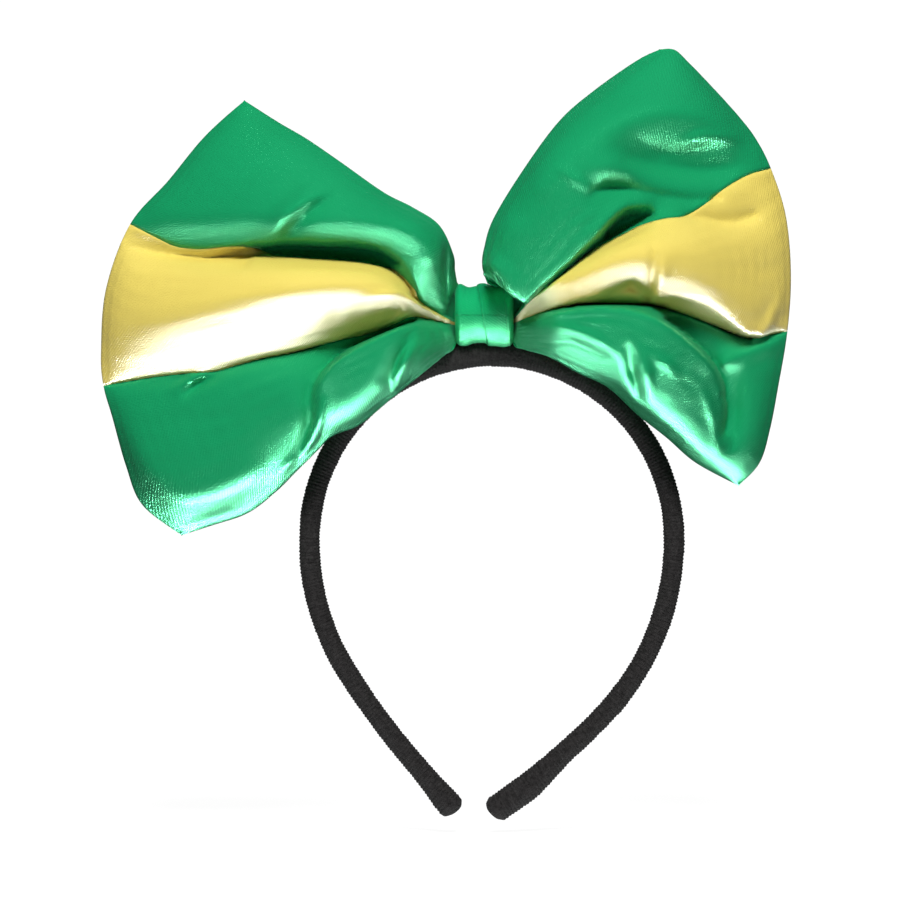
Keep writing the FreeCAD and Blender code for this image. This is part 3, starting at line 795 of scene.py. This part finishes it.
class Cloth:
    """Position-based cloth: both layers of one loop as one skin, relaxed round its wadding."""

    def __init__(self, front, back):
        columns, rows = COLUMNS + 1, ROWS + 1
        self.front = np.arange(columns * rows).reshape(columns, rows)
        self.back = self.front + columns * rows
        self.back[-1, :] = self.front[-1, :]
        self.back[:, 0] = self.front[:, 0]
        self.back[:, -1] = self.front[:, -1]
        self.points = np.zeros((2 * columns * rows, 3))
        self.points[self.back] = back
        self.points[self.front] = front
        self.target = self.points.copy()
        self.weight = np.ones(len(self.points))
        self.weight[self.front[0]] = 0.0
        self.weight[self.back[0]] = 0.0
        self.groups = []

    def add_edges(self, a, b, growth, stiffness, only_push=False):
        """Distance constraints in groups that share no point. growth is the rest length's share."""
        a, b, growth = a.ravel(), b.ravel(), np.broadcast_to(growth, a.shape).ravel()
        rest = np.linalg.norm(self.points[a] - self.points[b], axis=1) * growth
        groups, used = {}, {}
        for k, (p, q) in enumerate(zip(a.tolist(), b.tolist())):
            if p == q:
                continue
            taken = used.get(p, 0) | used.get(q, 0)
            group = 0
            while taken >> group & 1:
                group += 1
            used[p] = used.get(p, 0) | 1 << group
            used[q] = used.get(q, 0) | 1 << group
            groups.setdefault(group, []).append(k)
        for ks in groups.values():
            ks = np.array(ks)
            ks = ks[self.weight[a[ks]] + self.weight[b[ks]] > 0]
            i, j = a[ks], b[ks]
            share = (self.weight[i] / (self.weight[i] + self.weight[j]))[:, None]
            self.groups.append((i, j, rest[ks], share, stiffness, only_push))

    def build(self, grow):
        """Threads both ways, diagonals, and springs that only push, against sharp bends."""
        diagonal = (1 + grow[:-1]) / 2
        for ids in (self.front, self.back):
            self.add_edges(ids[:-1], ids[1:], 1.0, THREAD_PULL)
            self.add_edges(ids[:, :-1], ids[:, 1:], grow, THREAD_PULL)
            self.add_edges(ids[:-1, :-1], ids[1:, 1:], diagonal, DIAGONAL_PULL)
            self.add_edges(ids[1:, :-1], ids[:-1, 1:], diagonal, DIAGONAL_PULL)
            for reach, stiffness in ((2, BEND), (4, BEND / 3)):
                self.add_edges(ids[:-reach], ids[reach:], 1.0, stiffness, True)
                self.add_edges(ids[:, :-reach], ids[:, reach:], grow, stiffness, True)

    def solve(self):
        p = self.points
        for i, j, rest, share, stiffness, only_push in self.groups:
            d = p[j] - p[i]
            length = np.sqrt((d * d).sum(axis=1)) + 1e-9
            over = length - rest
            if only_push:
                over = np.minimum(over, 0.0)
            move = d * (stiffness * over / length)[:, None]
            p[i] += move * share
            p[j] -= move * (1 - share)

    def normals(self, ids, outward):
        g = self.points[ids]
        along = np.gradient(g, axis=0)
        across = np.gradient(g, axis=1)
        n = np.cross(along, across) * outward
        return n / (np.linalg.norm(n, axis=-1, keepdims=True) + 1e-9)

    def hold(self, share, radius):
        """Pulls the cloth's broad shape back to the designed one, and leaves its small folds."""
        for ids in (self.front, self.back):
            gap = blur(self.target[ids] - self.points[ids], radius)
            gap[0] = 0.0
            self.points[ids] += share * gap
        rim = np.concatenate([self.front[-1], self.front[:, 0], self.front[:, -1]])
        self.points[rim] += HOLD_RIM * self.weight[rim, None] * (self.target[rim] - self.points[rim])

    def clear_band(self):
        """Nothing behind the band's front within the band's ring, and the layers stay apart."""
        p = self.points
        inside = np.hypot(p[:, 0], p[:, 2] - BAND_CENTRE_Z) < BAND_REACH
        inside &= (p[:, 1] > BAND_FRONT) & (self.weight > 0)
        p[inside, 1] = BAND_FRONT
        f, b = self.front[1:-1, 1:-1], self.back[1:-1, 1:-1]
        short = np.maximum(p[f, 1] - p[b, 1] + LAYER_GAP, 0.0) / 2
        p[f, 1] -= short
        p[b, 1] += short

    def relax(self, outward):
        speed = np.zeros_like(self.points)
        self.points += NUDGE * self.weight[:, None] * rng.normal(size=self.points.shape)
        for _ in range(RELAX_STEPS):
            before = self.points.copy()
            push = np.zeros_like(self.points)
            push[self.front] += self.normals(self.front, outward)
            push[self.back] -= self.normals(self.back, outward)
            self.points += self.weight[:, None] * (DAMPING * speed + PUFF * push)
            for _ in range(SOLVES):
                self.solve()
            self.hold(HOLD, HOLD_RADIUS)
            self.clear_band()
            speed = self.points - before
        return self.points[self.front], self.points[self.back]


def blur(field, radius):
    """Box blur of a grid of vectors over both of its ways, with its edges repeated."""
    for axis in (0, 1):
        pad = [(0, 0)] * field.ndim
        pad[axis] = (radius + 1, radius)
        run = np.cumsum(np.pad(field, pad, mode="edge"), axis=axis)
        size = 2 * radius + 1
        if axis == 0:
            field = (run[size:] - run[:-size]) / size
        else:
            field = (run[:, size:] - run[:, :-size]) / size
    return field


def weld(front, back):
    """The two layers share the outer fold and the top and bottom seams."""
    for at in ((-1, slice(None)), (slice(None), 0), (slice(None), -1)):
        front[at] = back[at] = (front[at] + back[at]) / 2


def build_loop(name):
    front, back = design_loop(name)
    for layer, (y, z) in zip((front, back), neck_ring()):
        layer[0, :, 0] = LOOPS[name]["bottom"][0][0]
        layer[0, :, 1] = y
        layer[0, :, 2] = z
    weld(front, back)
    u = column_shares()
    cloth = Cloth(front, back)
    cloth.build((1 + smoothstep(0.02, 0.12, u) * GATHER * (1 - u))[:, None])
    return cloth.relax(-1 if name == "left" else 1)


def strip_object(name, loops, low_row, high_row, material):
    """One strip of satin: both layers of both loops, and the neck between them."""
    shape = (2, 2, COLUMNS + 1, ROWS + 1)  # loop, layer, column, row
    at = np.arange(math.prod(shape)).reshape(shape)
    at[:, 1, -1] = at[:, 0, -1]
    at[:, 1, :, 0] = at[:, 0, :, 0]
    at[:, 1, :, -1] = at[:, 0, :, -1]
    at = at[..., low_row:high_row + 1]
    faces = []
    for layer in (0, 1):
        for loop in (0, 1):
            faces += grid_faces(at[loop, layer], loop == layer)
        faces += grid_faces(at[:, layer, 0], layer == 1)
    used, faces = np.unique(faces, return_inverse=True)
    points = np.array(list(loops.values())).reshape(-1, 3)[used]
    flat = np.zeros((*shape, 2))
    flat[..., 0] = LOOP_LENGTH * np.outer((-1, 1), column_shares())[:, None, :, None]
    flat[..., 1] = 3 * STRIP_WIDTH * row_shares()
    obj = mesh_object(name, points, faces.reshape(-1, 4), material)
    set_cloth_uv(obj, flat.reshape(-1, 2)[used])
    thicken(obj, CLOTH)
    return obj


def window(field, reach, pick):
    """The highest or lowest neighbour, within reach cells, of each value of a grid."""
    out = field
    for shift in range(1, reach + 1):
        for axis in (0, 1):
            for way in (-shift, shift):
                out = pick(out, np.roll(field, way, axis))
    return out


def wadding_part(name, front, back):
    """Points and faces of the padding in one loop, smaller than the cloth all round."""
    pick = np.ix_(np.arange(WAD_START, COLUMNS - WAD_MARGIN, WAD_STEP),
                  np.arange(WAD_MARGIN, ROWS - WAD_MARGIN + 1, WAD_STEP))
    near, far = front[..., 1], back[..., 1]
    for _ in range(2):
        near = window(near, WAD_STEP - 1, np.maximum)
        far = window(far, WAD_STEP - 1, np.minimum)
    near, far = near[pick] + WAD_INSET, far[pick] - WAD_INSET
    middle = (near + far) / 2
    front, back = front[pick], back[pick]
    front[..., 1] = np.minimum(near, middle - WAD_THIN)
    back[..., 1] = np.maximum(far, middle + WAD_THIN)
    at = np.arange(middle.size).reshape(middle.shape)
    faces = grid_faces(at) + grid_faces(at + at.size, True)
    rim = [*at[:, 0], *at[-1, 1:], *at[-2::-1, -1], *at[0, -2:0:-1]]
    faces += [(b, a, a + at.size, b + at.size) for a, b in zip(rim, rim[1:] + rim[:1])]
    if name == "left":
        faces = [face[::-1] for face in faces]
    return [*front.reshape(-1, 3), *back.reshape(-1, 3)], faces


def seam_threads(front, back):
    """Stitching just inside both seams, round the front and the back of one loop."""
    for row in (STRIPE_ROWS, 2 * STRIPE_ROWS):
        for grid, inward in ((front, SEAM_DEPTH), (back, -SEAM_DEPTH)):
            yield tube(grid[SEAM_MARGIN:-SEAM_MARGIN:SEAM_STEP, row] + (0.0, inward, 0.0), SEAM_THREAD / 2)


def build_bow():
    loops = {name: build_loop(name) for name in ("left", "right")}
    for front, back in loops.values():
        for row in (STRIPE_ROWS, 2 * STRIPE_ROWS):
            front[1:-1, row, 1] += SEAM_GROOVE
            back[1:-1, row, 1] -= SEAM_GROOVE
    for k, (name, node, slot, material) in enumerate((
        ("lower_green", "lower_green_strip", "green_satin", GREEN_SATIN),
        ("yellow_stripe", "yellow_strip", "yellow_satin", YELLOW_SATIN),
        ("upper_green", "upper_green_strip", "green_satin", GREEN_SATIN),
    )):
        strip = strip_object(name, loops, k * STRIPE_ROWS, (k + 1) * STRIPE_ROWS, material)
        stand_on_crown(strip, node, slot)
    parts = [wadding_part(name, *layers) for name, layers in loops.items()]
    wadding = join_parts("wadding", parts, WADDING)
    stand_on_crown(wadding, "bow_wadding", "white_wadding")
    parts = [part for layers in loops.values() for part in seam_threads(*layers)]
    stand_on_crown(join_parts("seam_stitching", parts, THREAD), "stripe_seam_thread", "green_thread")


# ---- knot

RIBBON_CLOTH = 0.35
PLEAT_RISE = 0.55
TAIL_RISE = 1.0
RIBBON_STEPS = 96  # round the knot
STITCHES, STITCH_THREAD = 4, 0.44
WINDS, WIND_STEPS, WIND_THREAD = 9, 28, 0.76
WIND_INSET, WIND_RISE = 0.4, 0.45
# How far an edge is drawn in, and over what width: the whole ribbon's, and each pleat's
RIBBON_TUCK, RIBBON_TUCK_WIDE = 2.2, 2.0
PLEAT_TUCK, PLEAT_TUCK_WIDE = 0.25, 0.5


def knot_radius(x, angle, rise):
    """Half height and half depth of the ribbon at that x: waisted, with soft creases round it."""
    share = (x - KNOT_LEFT) / (KNOT_RIGHT - KNOT_LEFT)
    waist = 1.0 + 0.30 * (share - 0.5) ** 2
    crease = 0.10 * math.sin(17.0 * share + 1.3 * math.sin(angle)) + 0.07 * math.sin(31.0 * share - angle)
    ruffle = 0.45 * math.sin(4.6 * share * math.pi + 0.9) * max(0.0, math.sin(angle)) ** 4
    ruffle += 0.35 * math.sin(3.4 * share * math.pi) * max(0.0, -math.sin(angle)) ** 4
    edge = min(share, 1 - share) * (KNOT_RIGHT - KNOT_LEFT)
    tuck = RIBBON_TUCK * max(0.0, 1 - edge / RIBBON_TUCK_WIDE) ** 2
    grow = rise + crease + ruffle - tuck
    return RIBBON_HIGH * waist + grow, RIBBON_DEEP * waist + grow


def ribbon_patch(left, right, rise, start, end, around, across):
    """Part of the ribbon between two lines left(angle) and right(angle). Angle 0 faces the front."""
    closed = abs(end - start - 2 * math.pi) < 1e-6
    rings = around if closed else around + 1
    points, flat = [], []
    for k in range(rings):
        angle = start + (end - start) * k / around
        wide = right(angle) - left(angle)
        for share in np.arange(across + 1) / across:
            x = left(angle) + wide * share
            lift = rise
            if rise > 0:
                lift -= PLEAT_TUCK * max(0.0, 1 - min(share, 1 - share) * wide / PLEAT_TUCK_WIDE) ** 2
            high, deep = knot_radius(x, angle, lift)
            points.append((x, KNOT_Y - deep * math.cos(angle), KNOT_Z + high * math.sin(angle)))
            flat.append((angle * RIBBON_HIGH, x))
    at = np.arange(rings * (across + 1)).reshape(rings, -1)
    return points, grid_faces(np.vstack([at, at[:1]]) if closed else at), flat


def build_ribbon():
    """The ribbon, its two pleats on the right and its lapped end at the back."""
    turn = (0.0, 2 * math.pi, RIBBON_STEPS)
    ribbon = join_parts("knot_satin", [
        ribbon_patch(lambda a: KNOT_LEFT, lambda a: KNOT_RIGHT, 0.0, *turn, 30),
        ribbon_patch(lambda a: -3.3 - 1.7 * math.sin(a), lambda a: KNOT_RIGHT - 0.35 - 0.5 * math.sin(a),
                     PLEAT_RISE, *turn, 18),
        ribbon_patch(lambda a: 4.6 - 1.0 * math.sin(a), lambda a: KNOT_RIGHT - 0.1,
                     1.6 * PLEAT_RISE, *turn, 8),
        ribbon_patch(lambda a: -9.0, lambda a: 5.0, TAIL_RISE, math.pi - 0.62, math.pi + 0.66, 20, 18),
    ], GREEN_RIBBON)
    thicken(ribbon, RIBBON_CLOTH)
    smooth = ribbon.modifiers.new("smooth", "SUBSURF")
    smooth.levels = smooth.render_levels = 1
    stand_on_crown(ribbon, "knot_ribbon", "green_ribbon")


def node_box(node):
    """Lowest and highest corners of a CAD node."""
    return (np.array(corner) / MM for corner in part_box(node))


def build_stitches():
    """Stitches across the lapped end at the back."""
    low, high = node_box("knot_stitches")
    back = KNOT_Y + RIBBON_DEEP + TAIL_RISE
    parts = []
    for z in np.linspace(low[2], high[2], STITCHES):
        path = [(low[0] + (high[0] - low[0]) * s, back - 0.15 + 0.35 * math.sin(math.pi * s),
                 z + 0.5 * (s - 0.5)) for s in np.linspace(0, 1, 9)]
        parts.append(tube(path, STITCH_THREAD / 2))
    stand_on_crown(join_parts("closing_stitches", parts, THREAD), "knot_stitches", "green_thread")


def build_wound_thread():
    """Thread wound round the neck under the ribbon."""
    low, high = node_box("gathering_thread")
    steps = WINDS * WIND_STEPS
    path = []
    for k in range(steps + 1):
        angle = 2 * math.pi * k / WIND_STEPS
        x = low[0] + WIND_INSET + (high[0] - low[0] - 2 * WIND_INSET) * k / steps
        x += 0.15 * math.sin(angle * 0.37)
        path.append((x, KNOT_Y - (NECK_DEEP + WIND_RISE) * math.cos(angle),
                     KNOT_Z + (NECK_HIGH + WIND_RISE) * math.sin(angle)))
    thread = join_parts("wound_thread", [tube(path, WIND_THREAD / 2, 8)], THREAD)
    stand_on_crown(thread, "gathering_thread", "green_thread")


def build_glue():
    """Glue between the knot and the band: a rounded block with a rippled skin. Its dark colour is partly
    plush fluff caught in it and partly painted shade for the gap under the knot.
    """
    low, high = node_box("glue_pad")
    centre, size = (low + high) / 2, (high - low) / 2
    ball = bmesh.new()
    bmesh.ops.create_icosphere(ball, subdivisions=4, radius=1.0)
    points = []
    for vert in ball.verts:
        n = np.array(vert.co)
        ripple = 1 + 0.05 * math.sin(5 * n[0] + 2) * math.sin(4 * n[1] + 1)
        points.append(centre + np.sign(n) * np.abs(n) ** 0.6 * size * ripple * (1.0, 1.0, 0.98))
    faces = [tuple(vert.index for vert in face.verts) for face in ball.faces]
    ball.free()
    stand_on_crown(join_parts("knot_glue", [(points, faces)], FLUFF_AND_SHADE_GLUE), "glue_pad", "hot_glue")


# ---- stage

BACKGROUND = 1.05
AMBIENT = 0.06
FLOOR_GAP, FLOOR_REACH = 6, 3000  # below the model, and each way from its middle
FLOOR_NEAR, FLOOR_FAR, FLOOR_WHITE = 0.05, 1.3, 0.84  # metres, and the share of white near the object
LENS, SENSOR = 220.0, 36.0
PICTURE = 0.3  # width of what the camera sees at the bow, in metres
CAMERA_AIM = (-0.014, -0.008, -0.0278)
BOW_MIDDLE = (-0.015, 0.0, 0.0)
# Name, place, target, size, and power in watts. The first shows only in gloss, and the others don't.
LIGHTS = (
    ("below", (0.0, -0.10, -0.85), (-0.015, -0.02, 0.02), (1.3, 0.56), 66.0),
    ("front", (0.0, -1.15, 1.05), BOW_MIDDLE, (0.45, 0.45), 43.0),
    ("top", (0.3, -0.3, 1.4), (0.0, 0.0, 0.0), (1.0, 1.0), 4.0),
    ("back", (0.1, 1.3, 0.7), BOW_MIDDLE, (0.8, 0.8), 22.0),
    ("fill", (-0.2, -1.3, -0.6), BOW_MIDDLE, (0.6, 0.6), 7.0),
)


def build_camera():
    data = bpy.data.cameras.new("camera")
    data.sensor_width = SENSOR
    data.lens = LENS
    camera = bpy.data.objects.new("camera", data)
    camera.location = Vector(CAMERA_AIM) - Vector((0.0, PICTURE * LENS / SENSOR, 0.0))
    camera.rotation_euler = (math.pi / 2, 0.0, 0.0)
    bpy.context.scene.collection.objects.link(camera)
    bpy.context.scene.camera = camera


def build_floor():
    z = CAD_BOX[0].z / MM - FLOOR_GAP
    corners = [(x * FLOOR_REACH, y * FLOOR_REACH, z) for x, y in ((-1, -1), (1, -1), (1, 1), (-1, 1))]
    material, tree, shader = new_material("floor")
    set_inputs(shader, {"Base Color": (0.9, 0.9, 0.9, 1.0), "Roughness": 0.9})
    # pale near the object, and as white as the background further off
    place = add_node(tree, "TexCoord", "Object")
    reach = add_node(tree, "VectorMath", "Value", {0: place}, operation="LENGTH")
    share = add_node(tree, "MapRange", "Result", {
        "Value": reach, "From Min": FLOOR_NEAR, "From Max": FLOOR_FAR, "To Min": FLOOR_WHITE,
    }, interpolation_type="SMOOTHSTEP")
    white = add_node(tree, "Emission", "Emission", {"Strength": BACKGROUND})
    surface = add_node(tree, "MixShader", "Shader", {"Fac": share, 1: shader.outputs["BSDF"], 2: white})
    set_inputs(tree.nodes["Material Output"], {"Surface": surface})
    floor = mesh_object("floor", corners, [(0, 1, 2, 3)], material, smooth=False)
    floor.visible_shadow = floor.visible_diffuse = floor.visible_glossy = False


def build_world():
    """White where the camera sees it, dim as a light, and absent from the satin's gloss."""
    world = bpy.data.worlds.new("world")
    bpy.context.scene.world = world
    world.use_nodes = True
    tree = world.node_tree
    seen = add_node(tree, "LightPath", "Is Camera Ray")
    strength = add_node(tree, "MapRange", "Result", {"Value": seen, "To Min": AMBIENT, "To Max": BACKGROUND})
    set_inputs(tree.nodes["Background"], {"Color": (1.0, 1.0, 1.0, 1.0), "Strength": strength})
    world.cycles_visibility.glossy = False


def build_lights():
    for name, place, target, size, power in LIGHTS:
        data = bpy.data.lights.new(name, "AREA")
        data.shape = "RECTANGLE"
        data.size, data.size_y = size
        data.energy = power
        light = bpy.data.objects.new(name, data)
        light.location = place
        light.rotation_euler = (Vector(target) - Vector(place)).to_track_quat("-Z", "Y").to_euler()
        light.visible_camera = False
        light.visible_diffuse = name != "below"
        light.visible_glossy = name == "below"
        data.cycles.use_multiple_importance_sampling = name != "below"
        bpy.context.scene.collection.objects.link(light)


build_band()
build_bow()
build_ribbon()
build_stitches()
build_wound_thread()
build_glue()
build_camera()
build_floor()
build_world()
build_lights()
bpy.context.scene.view_settings.view_transform = "Standard"
